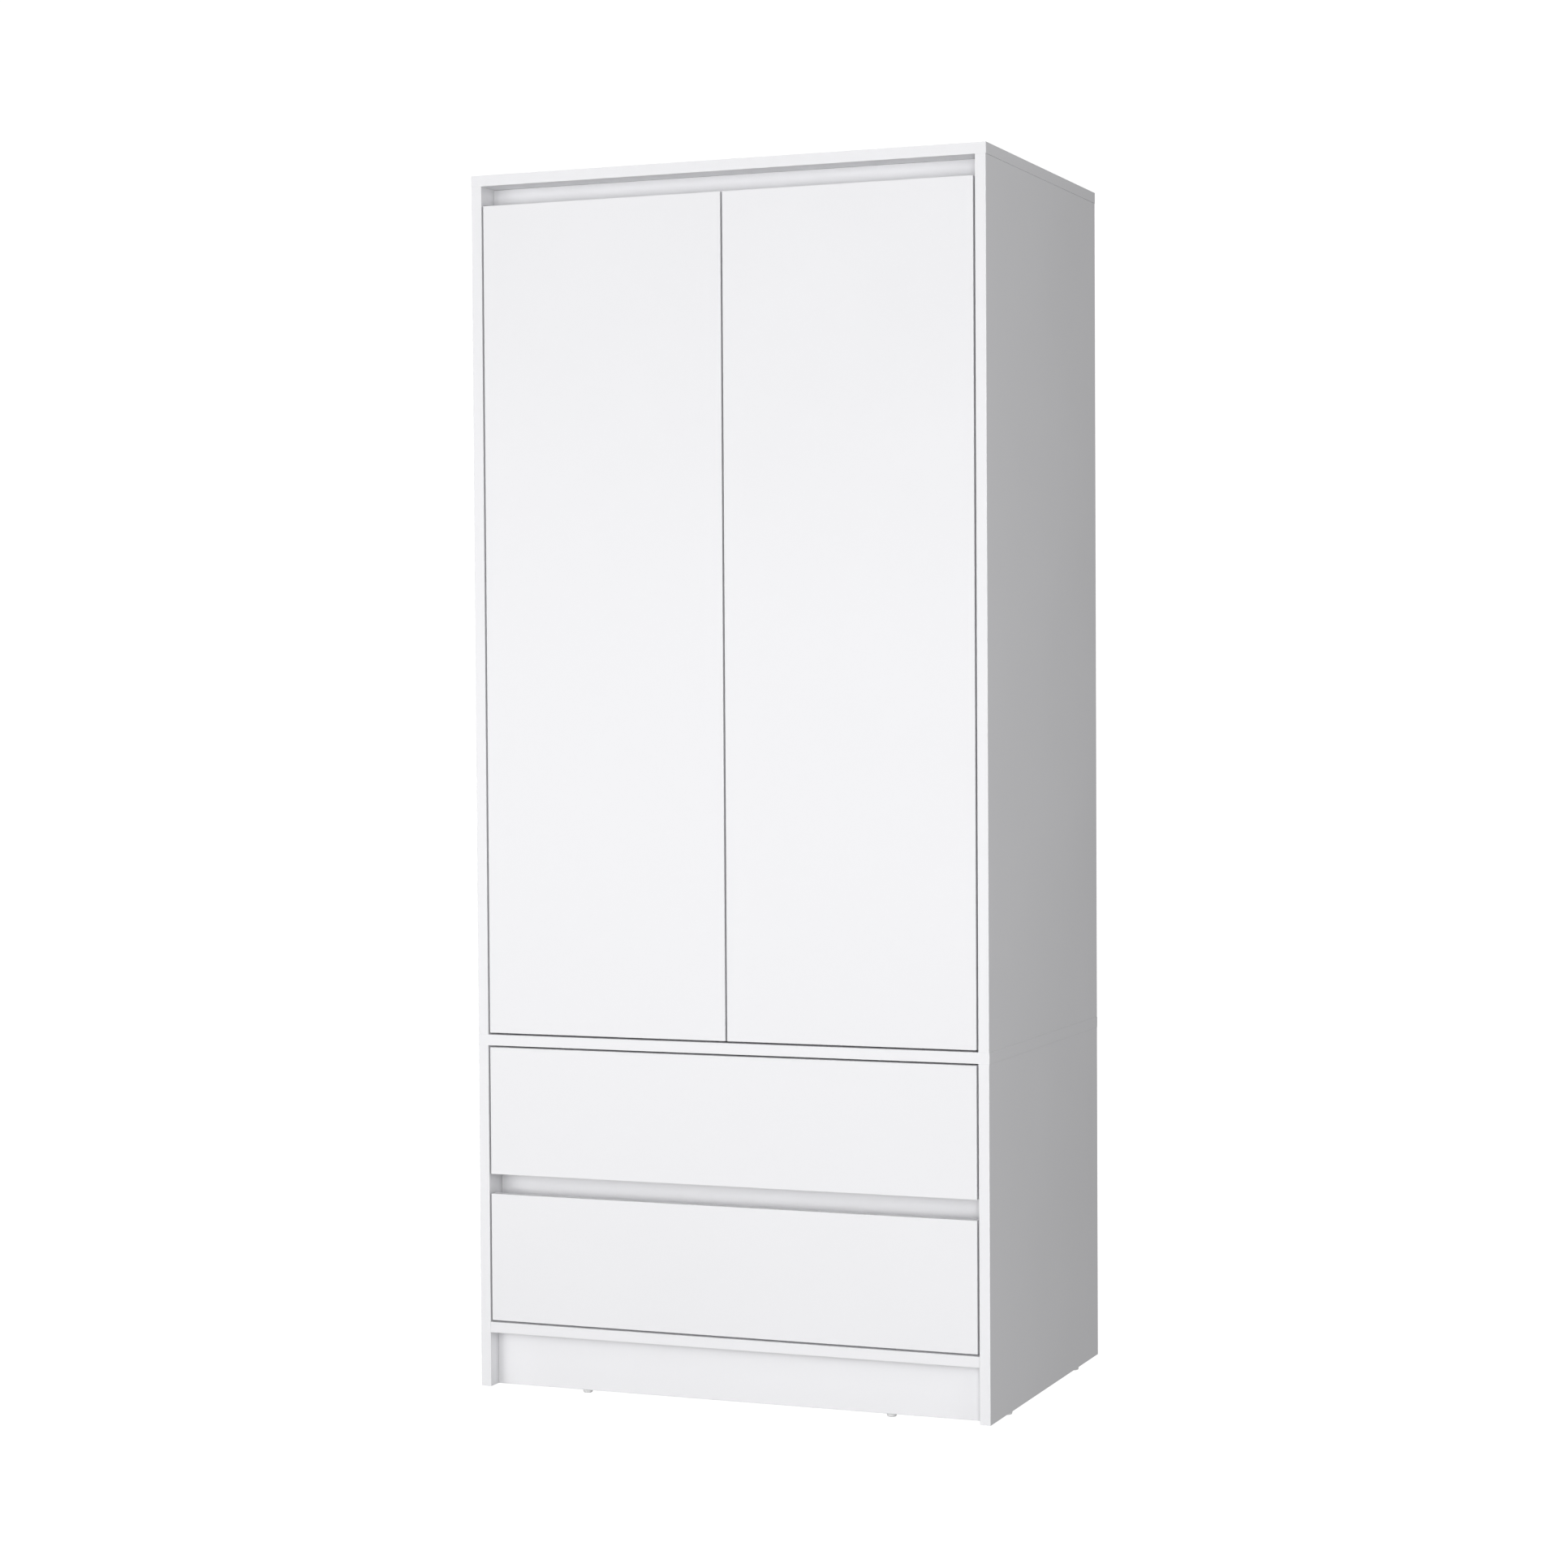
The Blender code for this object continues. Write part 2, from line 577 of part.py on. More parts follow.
def main():
    clear_scene()
    side_panels()
    cross_panels()
    front_rails()
    back_panels()
    glides()
    hanging_rail()
    doors()
    drawers()


main()
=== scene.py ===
"""Looks of the white two-door wardrobe: its materials, fittings, studio and camera."""

import json
import math

import bmesh
import bpy
from mathutils import Matrix, Vector


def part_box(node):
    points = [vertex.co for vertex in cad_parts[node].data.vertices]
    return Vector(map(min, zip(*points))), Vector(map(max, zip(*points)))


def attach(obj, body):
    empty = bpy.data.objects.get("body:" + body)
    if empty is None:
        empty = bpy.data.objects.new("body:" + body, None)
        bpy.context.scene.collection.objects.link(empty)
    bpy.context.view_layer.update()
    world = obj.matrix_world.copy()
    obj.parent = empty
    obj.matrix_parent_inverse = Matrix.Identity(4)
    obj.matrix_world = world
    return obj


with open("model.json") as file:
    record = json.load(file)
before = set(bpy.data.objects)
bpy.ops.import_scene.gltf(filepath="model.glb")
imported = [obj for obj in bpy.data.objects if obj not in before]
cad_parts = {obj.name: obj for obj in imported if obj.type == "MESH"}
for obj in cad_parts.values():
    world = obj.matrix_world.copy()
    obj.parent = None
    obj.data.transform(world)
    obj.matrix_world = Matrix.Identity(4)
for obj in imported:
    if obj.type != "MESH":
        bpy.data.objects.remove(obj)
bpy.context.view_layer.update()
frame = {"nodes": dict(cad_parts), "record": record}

NODES = frame["nodes"]

# Places read from the frame
SIDE_LOW, SIDE_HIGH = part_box("side_panel_left_lower")
FRONT = SIDE_LOW.y
INNER = -SIDE_HIGH.x     # the side panels' inner faces, either side of x = 0
OUTER = -SIDE_LOW.x
Z_MID, Z_MID_TOP = (corner.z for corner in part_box("mid_panel"))
Z_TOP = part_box("top_panel")[0].z
SIDES = (("left", -1.0), ("right", 1.0))
LEVELS = ("low", "mid", "high")
DRAWERS = ("lower", "upper")
BACKWARD = (0.0, 1.0, 0.0)
DOWNWARD = (0.0, 0.0, -1.0)

# The camera, from the left side panel's outer, front, bottom corner
CAMERA_OFFSET = Vector((2.26145, -4.47790, 1.04829))
CAMERA_TURN = math.radians(21.563)
CAMERA_TILT = math.radians(88.272)
CAMERA_ROLL = math.radians(-0.331)
CAMERA_LENS = 77.122
SENSOR_WIDTH = 36.0
CAMERA_REACH = 100.0

# Colours, linear
WHITE = (1.0, 1.0, 1.0)
FLOOR_GREY = (0.14, 0.14, 0.14)
FRONT_WHITE = (0.875, 0.875, 0.893)
CARCASS_WHITE = (0.88, 0.88, 0.899)
FOIL_WHITE = (0.84, 0.84, 0.85)
LACQUER_DULL = (0.80, 0.80, 0.81)
LACQUER_BRIGHT = (0.83, 0.83, 0.84)
FIBRE_DARK = (0.330, 0.215, 0.130)
FIBRE_PALE = (0.560, 0.395, 0.260)
FIBRE_STAIN = (0.410, 0.275, 0.172)
ZINC_DULL = (0.52, 0.53, 0.55)
ZINC_BRIGHT = (0.68, 0.68, 0.68)
CHROME_GREY = (0.78, 0.78, 0.79)
PLASTIC_DULL = (0.83, 0.83, 0.83)
PLASTIC_BRIGHT = (0.87, 0.87, 0.87)

# Melamine
LEVEL_PAINTED_LIGHT = 1.07       # painted light: how much paler its level faces, top and underside, are painted
PALEST = 0.96
DRIFT_SHADE = 0.985     # its darkest slow drift of tone
SPECK_SHADE = 0.96      # its darkest speck
GLOSS_DRIFT = 0.03
PAINTED_SHADE_REACH = 0.012    # painted shade: how far from an inner corner its tone is painted darker
PAINTED_CORNER_SHADE = 0.80     # its painted shade in the corner itself
PAINTED_SHADE_SAMPLES = 4

# Screws: head radius, head height
WING_SCREW = (0.0036, 0.0016)
EAR_SCREW = (0.0031, 0.0011)
SOCKET_SCREW = (0.0030, 0.0013)
CHANNEL_SCREW = (0.0036, 0.0012)
RUNNER_SCREW = (0.0034, 0.0012)
BOARD_SCREW = (0.0034, 0.0007)

# A screw head's outline and its recess, as shares of their radius and of the head's height
PAN_HEAD = ((0.96, 0.0), (1.0, 0.2), (0.95, 0.62), (0.80, 0.90), (0.64, 1.0))
RECESS = ((1.0, 1.0), (0.86, 0.25))
RECESS_SHARE = 0.56
ARM_ANGLE = math.radians(15)    # half the angle that a recess's arm ends take up
HEAD_STEPS = 24

# Cam covers, as shares of their radius and height
CAP_RADIUS = 0.0092
CAP_HEIGHT = 0.0010
CAP_OUTLINE = ((1.0, 0.02), (1.0, 0.35), (0.975, 0.75), (0.90, 1.0), (0.72, 1.0), (0.69, 0.72))
CAP_STEPS = 40
CAM_SETBACK = 0.0340    # a cam lock's middle from the end of its board
CAM_DEPTH = 0.198       # the carcass's cam locks, in front of and behind its middle
SHELF_CAM_DEPTH = 0.050     # the shelf's front ones, behind its front edge
DRAWER_CAM_RISES = (0.048, 0.112)   # above the drawer side's lower edge

# Nails: radius and height, ring by ring
NAIL_OUTLINE = ((0.0017, 0.00002), (0.0017, 0.00018), (0.0014, 0.00036), (0.0008, 0.00046))
NAIL_STEPS = 14
NAIL_INSET = 0.0035
NAIL_END = 0.012        # the outermost nail of an upright row, from the panel's end
NAIL_LOW_EDGE = 0.006
NAILS_UP_LOWER = 4
NAILS_UP_UPPER = 9
NAILS_ACROSS = 5
ACROSS_SHARE = 2.6      # how many nail gaps fit between the middle and the upright rows

# Hinges and rail sockets
WING_FACE = 0.0028      # the hinge plate's wings, from the side panel
WING_OFFSET = -0.0060   # the wings' middle, from the plate's
WING_SCREW_Z = 0.0165
EAR_SCREW_Z = 0.0218
ADJUSTERS = ((0.034, 0.0030), (0.058, 0.0036))      # from the carcass's front, radius
ADJUSTER_HEIGHT = 0.0012
LATCH_FRONT = 0.0085    # the arm's release latch, from the arm's rear end
LATCH_REAR = 0.0020
LATCH_HALF_HEIGHT = 0.0050
LATCH_SHEET = 0.0012
LATCH_ROUND = 0.0005
SOCKET_PLATE = 0.0020
SOCKET_SCREW_Z = 0.0230

# Drawers and their slides
BOARD_SCREW_RISES = ((0.078, 0.2), (0.130, 1.1))    # above the side's lower edge, turn
BOARD_SCREW_INSET = 0.006
CHANNEL_SCREWS = (0.09, 0.48, 0.90)     # shares of the channel's length
RUNNER_SCREWS = (0.14, 0.55, 0.84)
SLIDE_SHEET = 0.0012
BALL_RADIUS = 0.0021
BALL_RISE = 0.0139      # the ball tracks, above and below the slide's middle
BALL_COUNT = 8
BALL_BACK = 0.008       # the last ball, from the runner's rear end
BALL_PLAY = 0.014       # the part of a cage's length that its row of balls leaves free
CAGE_LENGTH = 0.1000
CAGE_BACK = 0.002
CAGE_HALF_WIDTH = 0.0019
CAGE_HALF_SHEET = 0.0004
CAGE_ROUND = 0.0003

# Joint lines
SEAM_PLAY = 0.00001     # a joint line's faces, from the boards'
SEAM_INSET = 0.00012    # its sunken depth
TOP_SEAM_INSET = 0.0010     # deeper on the sides, under the top panel, where the joint shows
RAIL_SEAM_INSET = 0.0012    # and at the ends of the boards that are set back
SEAM_REAR = 0.005       # where it stops, in front of the carcass's rear edge

SHARP_ANGLE = math.radians(32)

# The studio
AMBIENT = 0.170         # light from every side
SIDE_GLOW = 0.143       # more of it from the right, fading towards the front and back
ROOM_GLOW = 1.05        # the white that the camera sees round the object
FLOOR_RADIUS = 30.0

# Studio lights: place, the point each one faces, its disc's diameter, watts
LIGHTS = {
    "left_low": ((-2.5, -5.0, 0.50), (0.0, 0.0, 1.05), 2.5, 68.5),
    "left_far": ((-3.8, -3.6, 1.20), (0.0, 0.0, 1.05), 2.5, 18.6),
    "left_overhead": ((-3.0, -3.0, 3.00), (0.0, 0.0, 1.00), 2.5, 21.0),
    "right_low": ((2.0, -5.2, 0.50), (0.0, 0.0, 1.05), 2.5, 45.5),
    "right_middle": ((2.0, -5.2, 1.12), (0.0, 0.0, 1.05), 2.5, 34.0),
    "right_high": ((2.0, -5.2, 2.20), (0.0, 0.0, 1.05), 2.5, 49.5),
    "side": ((2.8, -1.8, 1.30), (0.0, 0.0, 1.05), 1.5, 13.6),
    "bounce": ((0.0, -4.0, -0.60), (0.0, 0.0, 1.30), 2.5, 9.3),
    "rear": ((-1.2, 4.6, 2.20), (0.0, 0.0, 1.00), 2.5, 80.0),
    "overhead": ((-0.6, 1.4, 4.80), (0.0, 0.0, 1.80), 2.0, 38.0),
    "left_rear": ((-4.6, 1.3, 1.40), (0.0, 0.0, 1.00), 2.0, 31.0),
}


def make_camera():
    data = bpy.data.cameras.new("camera")
    data.sensor_width = SENSOR_WIDTH
    data.lens = CAMERA_LENS
    data.clip_end = CAMERA_REACH
    camera = bpy.data.objects.new("camera", data)
    bpy.context.scene.collection.objects.link(camera)
    turn = Matrix.Rotation(CAMERA_TURN, 4, "Z")
    tilt = Matrix.Rotation(CAMERA_TILT, 4, "X")
    roll = Matrix.Rotation(CAMERA_ROLL, 4, "Z")
    camera.matrix_world = Matrix.Translation(SIDE_LOW + CAMERA_OFFSET) @ turn @ tilt @ roll
    bpy.context.scene.camera = camera


def make_lights():
    """Broad soft lights before, beside, above and behind the object, and a low bounce in front."""
    for name, (place, target, size, watts) in LIGHTS.items():
        data = bpy.data.lights.new(name, "AREA")
        data.shape = "DISK"
        data.size = size
        data.energy = watts
        light = bpy.data.objects.new(name, data)
        light.location = place
        light.visible_camera = False
        aim = Vector(target) - Vector(place)
        light.rotation_euler = aim.to_track_quat("-Z", "Y").to_euler()
        bpy.context.scene.collection.objects.link(light)


def make_world():
    """Even studio light, a little stronger from the right, and a white room behind the object."""
    world = bpy.data.worlds.new("studio")
    bpy.context.scene.world = world
    world.use_nodes = True
    nodes = world.node_tree.nodes
    links = world.node_tree.links
    nodes.clear()
    where = nodes.new("ShaderNodeTexCoord")
    split = nodes.new("ShaderNodeSeparateXYZ")
    links.new(where.outputs["Generated"], split.inputs["Vector"])
    share = nodes.new("ShaderNodeMath")
    share.operation = "MAXIMUM"
    share.inputs[1].default_value = 0.0
    links.new(split.outputs["X"], share.inputs[0])
    glow = nodes.new("ShaderNodeMath")
    glow.operation = "MULTIPLY_ADD"
    glow.inputs[1].default_value = SIDE_GLOW
    glow.inputs[2].default_value = AMBIENT
    links.new(share.outputs[0], glow.inputs[0])
    fill = nodes.new("ShaderNodeBackground")
    fill.inputs["Color"].default_value = (*WHITE, 1.0)
    links.new(glow.outputs[0], fill.inputs["Strength"])
    seen = nodes.new("ShaderNodeBackground")
    seen.inputs["Color"].default_value = (*WHITE, 1.0)
    seen.inputs["Strength"].default_value = ROOM_GLOW
    path = nodes.new("ShaderNodeLightPath")
    mix = nodes.new("ShaderNodeMixShader")
    out = nodes.new("ShaderNodeOutputWorld")
    links.new(path.outputs["Is Camera Ray"], mix.inputs["Fac"])
    links.new(fill.outputs[0], mix.inputs[1])
    links.new(seen.outputs[0], mix.inputs[2])
    links.new(mix.outputs[0], out.inputs["Surface"])


def make_floor():
    """A plain pale floor that glows as the room does, and leaves the object's light alone."""
    shape = bmesh.new()
    bmesh.ops.create_circle(shape, cap_ends=True, segments=96, radius=FLOOR_RADIUS)
    mesh = bpy.data.meshes.new("floor")
    shape.to_mesh(mesh)
    shape.free()
    floor = bpy.data.objects.new("floor", mesh)
    bpy.context.scene.collection.objects.link(floor)
    floor.visible_diffuse = False
    floor.visible_glossy = False
    floor.visible_shadow = False
    material = bpy.data.materials.new("studio_floor")
    material.use_nodes = True
    shader = material.node_tree.nodes["Principled BSDF"]
    shader.inputs["Base Color"].default_value = (*FLOOR_GREY, 1.0)
    shader.inputs["Roughness"].default_value = 1.0
    shader.inputs["Specular IOR Level"].default_value = 0.0
    shader.inputs["Emission Color"].default_value = (*WHITE, 1.0)
    shader.inputs["Emission Strength"].default_value = ROOM_GLOW
    mesh.materials.append(material)


class Nodes:
    """A small helper that adds shader nodes to a material and joins them."""

    def __init__(self, name):
        self.material = bpy.data.materials.new(name)
        self.material.use_nodes = True
        self.tree = self.material.node_tree
        self.shader = self.tree.nodes["Principled BSDF"]

    def add(self, kind, inputs=None, **settings):
        node = self.tree.nodes.new("ShaderNode" + kind)
        for key, value in settings.items():
            setattr(node, key, value)
        for key, value in (inputs or {}).items():
            if isinstance(value, bpy.types.NodeSocket):
                self.tree.links.new(value, node.inputs[key])
            else:
                node.inputs[key].default_value = value
        return node

    def join(self, output, socket):
        self.tree.links.new(output, self.shader.inputs[socket])

    def noise(self, where, scale, detail=2.0, roughness=0.5):
        made = self.add("TexNoise", {"Vector": where, "Scale": scale, "Detail": detail,
                                     "Roughness": roughness})
        return made.outputs["Fac"]

    def remap(self, value, low, high, to_low=0.0, to_high=1.0):
        made = self.add("MapRange", {"Value": value, "From Min": low, "From Max": high,
                                     "To Min": to_low, "To Max": to_high})
        return made.outputs["Result"]

    def blend(self, factor, first, second):
        """A mix of two colours, by its colour sockets: 6 and 7 going in, and 2 coming out."""
        made = self.add("Mix", data_type="RGBA")
        for index, value in ((6, first), (7, second)):
            if isinstance(value, bpy.types.NodeSocket):
                self.tree.links.new(value, made.inputs[index])
            else:
                made.inputs[index].default_value = (*value, 1.0)
        self.tree.links.new(factor, made.inputs[0])
        return made.outputs[2]

    def bump(self, height, strength, distance):
        made = self.add("Bump", {"Height": height, "Strength": strength, "Distance": distance})
        self.join(made.outputs["Normal"], "Normal")


def shaded(colour, share):
    return tuple(min(channel * share, PALEST) for channel in colour)


def melamine(name, colour, roughness=0.42):
    """White melamine: fine orange peel and slight drifts, with painted light that makes level faces
    paler and painted shade that darkens inner corners.
    """
    made = Nodes(name)
    coord = made.add("TexCoord")
    where = coord.outputs["Object"]
    drift = made.noise(where, scale=3.0, detail=3.0)
    peel = made.noise(where, scale=700.0)
    speck = made.noise(where, scale=160.0, detail=5.0, roughness=0.7)
    # Painted light: faces that lie level, the top and the undersides, are painted paler than
    # upright ones.
    facing = made.add("SeparateXYZ", {"Vector": coord.outputs["Normal"]})
    upright = made.add("Math", {0: facing.outputs["Z"]}, operation="ABSOLUTE")
    level = made.remap(upright.outputs[0], 0.80, 0.95)
    tone = made.blend(made.remap(drift, 0.35, 0.65), shaded(colour, DRIFT_SHADE), colour)
    specks = made.remap(speck, 0.62, 0.80, to_high=0.25)
    tone = made.blend(specks, tone, shaded(colour, SPECK_SHADE))
    # Painted shade: the tone is darkened near inner corners, where the occlusion node finds other
    # surfaces close by.
    corner = made.add("AmbientOcclusion", {"Distance": PAINTED_SHADE_REACH}, samples=PAINTED_SHADE_SAMPLES)
    painted_corner_shade_mask = made.remap(corner.outputs["AO"], 0.5, 1.0, to_low=1.0, to_high=0.0)
    tone = made.blend(painted_corner_shade_mask, tone, shaded(colour, PAINTED_CORNER_SHADE))
    made.join(made.blend(level, tone, shaded(colour, LEVEL_PAINTED_LIGHT)), "Base Color")
    gloss = made.remap(drift, 0.3, 0.7, roughness - GLOSS_DRIFT, roughness + GLOSS_DRIFT)
    made.join(gloss, "Roughness")
    made.bump(peel, strength=0.08, distance=0.0002)
    return made.material


def hardboard(name):
    """Thin hardboard: lacquered white on the face inside the wardrobe, raw brown fibre behind."""
    made = Nodes(name)
    coord = made.add("TexCoord")
    where = coord.outputs["Object"]
    facing = made.add("SeparateXYZ", {"Vector": coord.outputs["Normal"]})
    raw = made.remap(facing.outputs["Y"], 0.4, 0.6)
    fleck = made.noise(where, scale=420.0, detail=6.0, roughness=0.7)
    cloud = made.noise(where, scale=14.0, detail=3.0)
    fibre = made.blend(made.remap(fleck, 0.35, 0.65), FIBRE_DARK, FIBRE_PALE)
    fibre = made.blend(made.remap(cloud, 0.3, 0.7, to_high=0.35), fibre, FIBRE_STAIN)
    lacquer = made.blend(made.remap(cloud, 0.3, 0.7), LACQUER_DULL, LACQUER_BRIGHT)
    made.join(made.blend(raw, lacquer, fibre), "Base Color")
    made.join(made.remap(raw, 0.0, 1.0, to_low=0.48, to_high=0.85), "Roughness")
    made.bump(fleck, strength=0.25, distance=0.0003)
    return made.material


def plated_steel(name):
    """Zinc plate on pressed steel: a cool grey with faint rolling marks and a cloudy gloss."""
    made = Nodes(name)
    where = made.add("TexCoord").outputs["Object"]
    drawn = made.add("Mapping", {"Vector": where, "Scale": (1.0, 0.08, 1.0)}).outputs["Vector"]
    lines = made.noise(drawn, scale=900.0)
    cloud = made.noise(where, scale=45.0, detail=4.0, roughness=0.6)
    made.join(made.blend(made.remap(cloud, 0.3, 0.7), ZINC_DULL, ZINC_BRIGHT), "Base Color")
    made.shader.inputs["Metallic"].default_value = 1.0
    made.join(made.remap(cloud, 0.3, 0.7, to_low=0.26, to_high=0.40), "Roughness")
    made.bump(lines, strength=0.10, distance=0.0001)
    return made.material


def chrome(name):
    """Bright plated tube with faint handling marks in its gloss."""
    made = Nodes(name)
    where = made.add("TexCoord").outputs["Object"]
    smudge = made.noise(where, scale=25.0, detail=5.0, roughness=0.65)
    made.shader.inputs["Base Color"].default_value = (*CHROME_GREY, 1.0)
    made.shader.inputs["Metallic"].default_value = 1.0
    made.join(made.remap(smudge, 0.35, 0.7, to_low=0.06, to_high=0.17), "Roughness")
    return made.material


def moulded_plastic(name):
    """White moulded plastic with a fine matt grain."""
    made = Nodes(name)
    where = made.add("TexCoord").outputs["Object"]
    drift = made.noise(where, scale=30.0)
    grain = made.noise(where, scale=1500.0)
    made.join(made.blend(drift, PLASTIC_DULL, PLASTIC_BRIGHT), "Base Color")
    made.join(made.remap(drift, 0.3, 0.7, to_low=0.36, to_high=0.46), "Roughness")
    made.bump(grain, strength=0.10, distance=0.0001)
    return made.material


def looks():
    """One material for each slot of the record."""
    return {
        "front_melamine": melamine("melamine_front", FRONT_WHITE),
        "carcass_melamine": melamine("melamine_carcass", CARCASS_WHITE),
        "drawer_board": melamine("drawer_foil", FOIL_WHITE, roughness=0.5),
        "hardboard_white": hardboard("hardboard"),
        "zinc_steel": plated_steel("zinc"),
        "chrome_tube": chrome("chrome"),
        "white_plastic": moulded_plastic("plastic"),
    }


def dress_frame(finishes):
    """The CAD nodes' materials, by the record's slots."""
    for entry in frame["record"]["subparts"]:
        node = NODES[entry["node"]]
        node.data.materials.clear()
        node.data.materials.append(finishes[entry["material_slot"]])


def round_ring(angle):
    return 1.0


def cross_ring(angle):
    """The outline of a cross with square-ended arms, one unit long."""
    turn = abs((angle + math.pi / 4) % (math.pi / 2) - math.pi / 4)
    if turn <= ARM_ANGLE:
        return 1.0 / math.cos(turn)
    return math.tan(ARM_ANGLE) / math.sin(turn)


def slot_ring(angle):
    """The outline of a straight screwdriver slot, one unit to each end."""
    turn = abs((angle + math.pi / 2) % math.pi - math.pi / 2)
    if turn <= ARM_ANGLE:
        return 1.0 / math.cos(turn)
    return math.tan(ARM_ANGLE) / math.sin(turn)


def put_in_order(elements, key):
    """Sort mesh elements by place: a bevel leaves them in an order that changes from run to run."""
    for rank, element in enumerate(sorted(elements, key=key)):
        element.index = rank
    elements.sort()


class Lot:
    """Many small closed parts of one finish, gathered into one piece that rides on a body."""

    def __init__(self, name, slot_name, body):
        self.name = name
        self.slot_name = slot_name
        self.body = body
        self.shape = bmesh.new()

    def turned(self, place, up, rings, steps, roll=0.0):
        """A part built up of rings (outline, radius, height) along the direction up."""
        up = Vector(up)
        side = up.orthogonal().normalized()
        other = up.cross(side)
        loops = []
        for outline, radius, height in rings:
            loop = []
            for i in range(steps):
                angle = 2 * math.pi * i / steps
                reach = radius * outline(angle)
                across = side * math.cos(angle + roll) + other * math.sin(angle + roll)
                loop.append(self.shape.verts.new(Vector(place) + across * reach + up * height))
            loops.append(loop)
        self.shape.faces.new(list(reversed(loops[0])))
        self.shape.faces.new(loops[-1])
        for below, above in zip(loops, loops[1:]):
            for i in range(steps):
                k = (i + 1) % steps
                self.shape.faces.new((below[i], below[k], above[k], above[i]))

    def screw(self, place, up, size, roll=0.0, drive=cross_ring):
        """A pan head with its driver recess, of a size (radius, height)."""
        radius, height = size
        recess = radius * RECESS_SHARE
        head = [(round_ring, radius * out, height * rise) for out, rise in PAN_HEAD]
        hollow = [(drive, recess * out, height * rise) for out, rise in RECESS]
        self.turned(place, up, head + hollow, HEAD_STEPS, roll)

    def cap(self, place, up):
        """A press-in cover over a cam lock: a low dome with a flat, slightly sunken middle."""
        rings = [(round_ring, CAP_RADIUS * out, CAP_HEIGHT * rise) for out, rise in CAP_OUTLINE]
        self.turned(place, up, rings, CAP_STEPS)

    def nail(self, place, up):
        rings = [(round_ring, radius, height) for radius, height in NAIL_OUTLINE]
        self.turned(place, up, rings, NAIL_STEPS)

    def box(self, low, high, radius=0.0):
        low = Vector(low)
        high = Vector(high)
        made = bmesh.ops.create_cube(self.shape, size=1.0)
        corners = made["verts"]
        bmesh.ops.scale(self.shape, vec=high - low, verts=corners)
        bmesh.ops.translate(self.shape, vec=(low + high) / 2, verts=corners)
        if radius:
            edges = list(dict.fromkeys(edge for vert in corners for edge in vert.link_edges))
            bmesh.ops.bevel(self.shape, geom=edges, offset=radius, segments=2, profile=0.5,
                            affect="EDGES")

    def ball(self, place, radius):
        bmesh.ops.create_icosphere(self.shape, subdivisions=3, radius=radius,
                                   matrix=Matrix.Translation(place))

    def done(self, finishes):
        mesh = bpy.data.meshes.new(self.name)
        bmesh.ops.recalc_face_normals(self.shape, faces=self.shape.faces)
        self.shape.normal_update()
        put_in_order(self.shape.verts, lambda vert: (*vert.co, *vert.normal))
        put_in_order(self.shape.faces, lambda face: (*face.calc_center_median(), *face.normal))
        self.shape.to_mesh(mesh)
        self.shape.free()
        mesh.shade_smooth()
        mesh.set_sharp_from_angle(angle=SHARP_ANGLE)
        mesh.materials.append(finishes[self.slot_name])
        piece = bpy.data.objects.new(self.name, mesh)
        bpy.context.scene.collection.objects.link(piece)
        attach(piece, self.body)


def inward(sign):
    return (-sign, 0.0, 0.0)


def outward(sign):
    return (sign, 0.0, 0.0)


def hinge_screws(finishes):
    """Screws in the plates' wings and the cups' ears, and the arms' adjusters and latches."""
    plates = Lot("screws_hinge_plates", "zinc_steel", "carcass")
    arms = Lot("screws_hinge_arms", "zinc_steel", "carcass")
    for side, sign in SIDES:
        cups = Lot(f"screws_hinge_cups_{side}", "zinc_steel", f"door_{side}")
        for index, level in enumerate(LEVELS):
            low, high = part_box(f"hinge_plate_{side}_{level}")
            middle = (low + high) / 2
            wing = sign * (INNER - WING_FACE)
            for step, roll in ((-1, 0.3), (1, 1.0)):
                place = (wing, middle.y + WING_OFFSET, middle.z + step * WING_SCREW_Z)
                plates.screw(place, inward(sign), WING_SCREW, roll + 0.4 * index)
            low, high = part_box(f"hinge_arm_{side}_{level}")
            face = max(low.x, high.x) if sign < 0 else min(low.x, high.x)
            for setback, radius in ADJUSTERS:
                place = (face, FRONT + setback, (low.z + high.z) / 2)
                roll = 0.5 + setback * 40 + index
                arms.screw(place, inward(sign), (radius, ADJUSTER_HEIGHT), roll, drive=slot_ring)
            near, far = sorted((face, face - sign * LATCH_SHEET))
            arms.box((near, high.y - LATCH_FRONT, middle.z - LATCH_HALF_HEIGHT),
                     (far, high.y - LATCH_REAR, middle.z + LATCH_HALF_HEIGHT), LATCH_ROUND)
            low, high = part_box(f"hinge_cup_{side}_{level}")
            middle = (low + high) / 2
            for step, roll in ((-1, 0.1), (1, 0.8)):
                place = (middle.x, high.y, middle.z + step * EAR_SCREW_Z)
                cups.screw(place, BACKWARD, EAR_SCREW, roll + 0.5 * index)
        cups.done(finishes)
    plates.done(finishes)
    arms.done(finishes)


def socket_screws(finishes):
    lot = Lot("screws_rail_sockets", "zinc_steel", "carcass")
    for side, sign in SIDES:
        low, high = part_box(f"rail_socket_{side}")
        middle = (low + high) / 2
        for step, roll in ((-1, 0.2), (1, 0.9)):
            place = (sign * (INNER - SOCKET_PLATE), middle.y, middle.z + step * SOCKET_SCREW_Z)
            lot.screw(place, inward(sign), SOCKET_SCREW, roll)
    lot.done(finishes)


